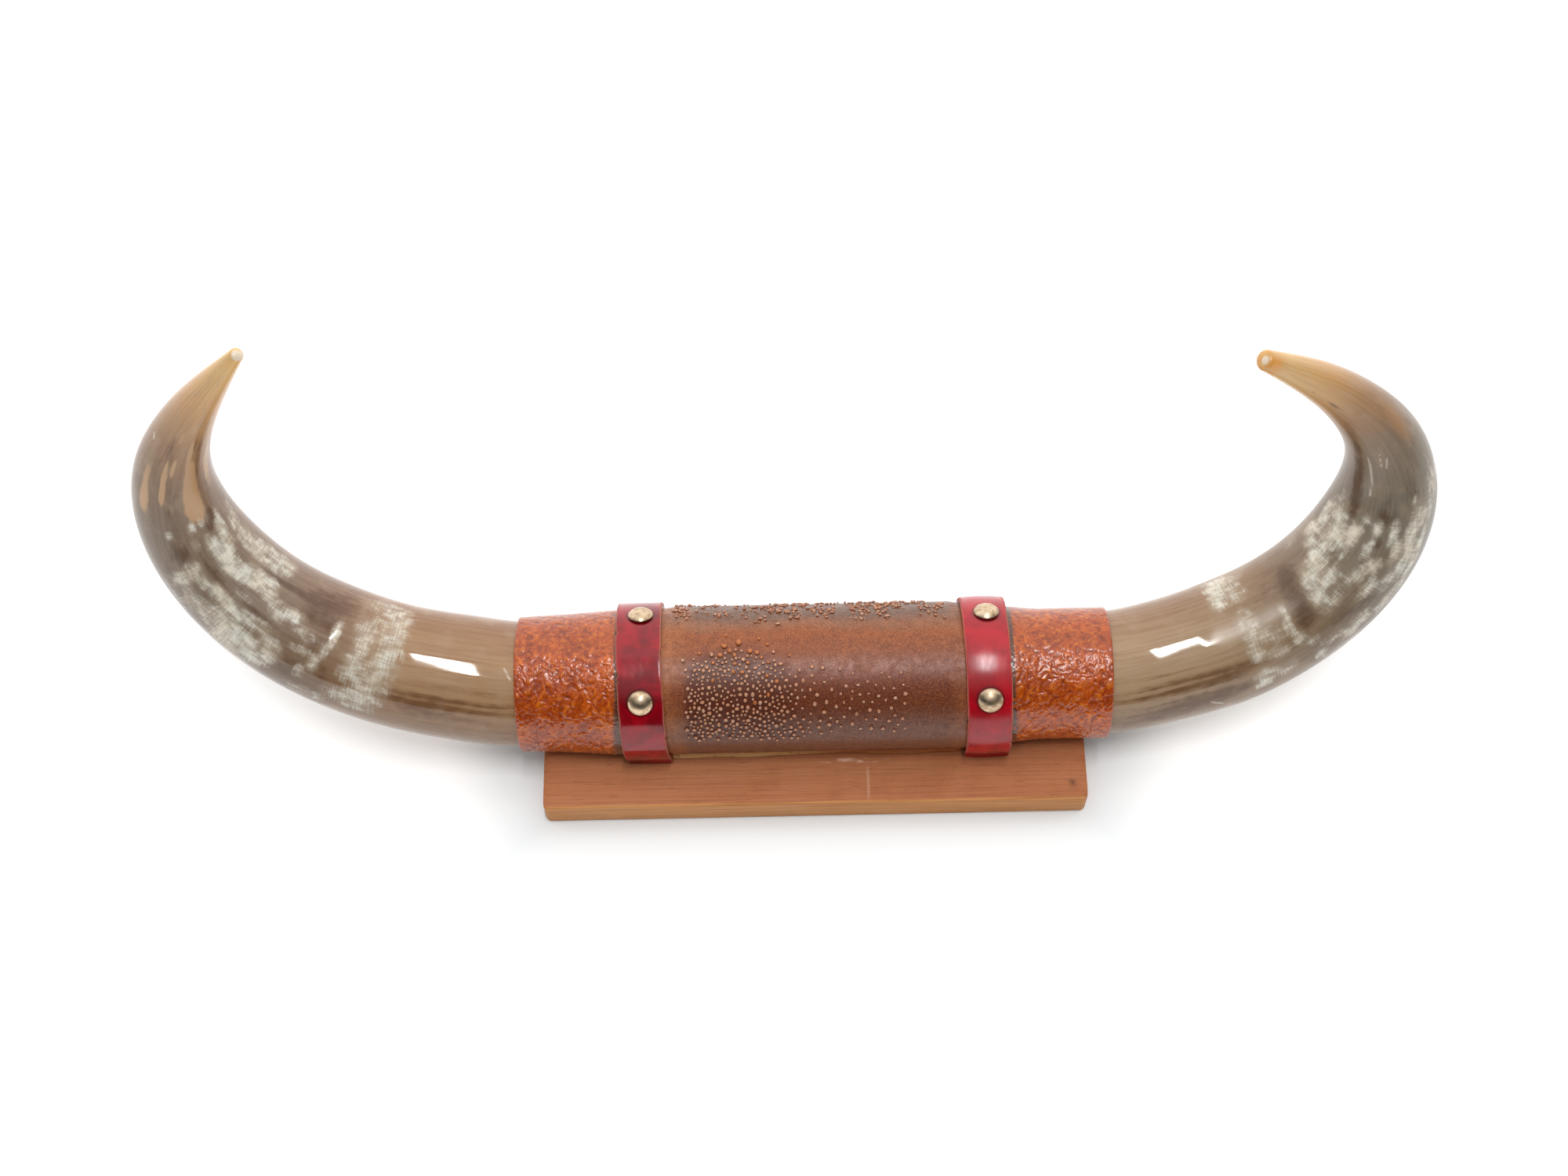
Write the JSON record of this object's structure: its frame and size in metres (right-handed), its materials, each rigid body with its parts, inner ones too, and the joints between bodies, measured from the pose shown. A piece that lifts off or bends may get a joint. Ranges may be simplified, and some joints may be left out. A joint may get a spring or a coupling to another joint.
{
  "type": "mounted steer horns",
  "caption": "Pair of polished steer horns joined by a leather-wrapped core and strapped to a flat wooden board, for show on a wall or shelf.",
  "frame": {"origin": "centre of the board's flat underside", "axes": "+X along the core towards the right-hand horn as seen in the picture, +Y towards the board's rear edge (up when it hangs on a wall), +Z out of the board, the way the horn tips point"},
  "size_m": [0.6442, 0.158, 0.2425],
  "materials": {
    "board_wood": "fine-grained reddish brown wood, thin satin finish, worn at the edges",
    "core_wood": "plain sawn wood, hidden",
    "wrap_leather": "smooth brown leather with raised beads, semi-gloss",
    "collar_leather": "crinkled orange-brown leather, glossy",
    "strap_leather": "smooth dyed crimson leather, glossy, scuffed edges",
    "stud_metal": "worn nickel plate, polished",
    "horn": "polished horn, tan to grey-brown with cream clouding, glossy"
  },
  "bodies": {
    "root": {"board": "board_wood", "core": "core_wood", "centre_wrap": "wrap_leather", "collar_left": "collar_leather", "collar_right": "collar_leather", "strap_left": "strap_leather", "strap_right": "strap_leather", "horn_left": "horn", "horn_right": "horn", "stud_left_lower": "stud_metal", "stud_left_upper": "stud_metal", "stud_right_lower": "stud_metal", "stud_right_upper": "stud_metal"}
  },
  "joints": []
}
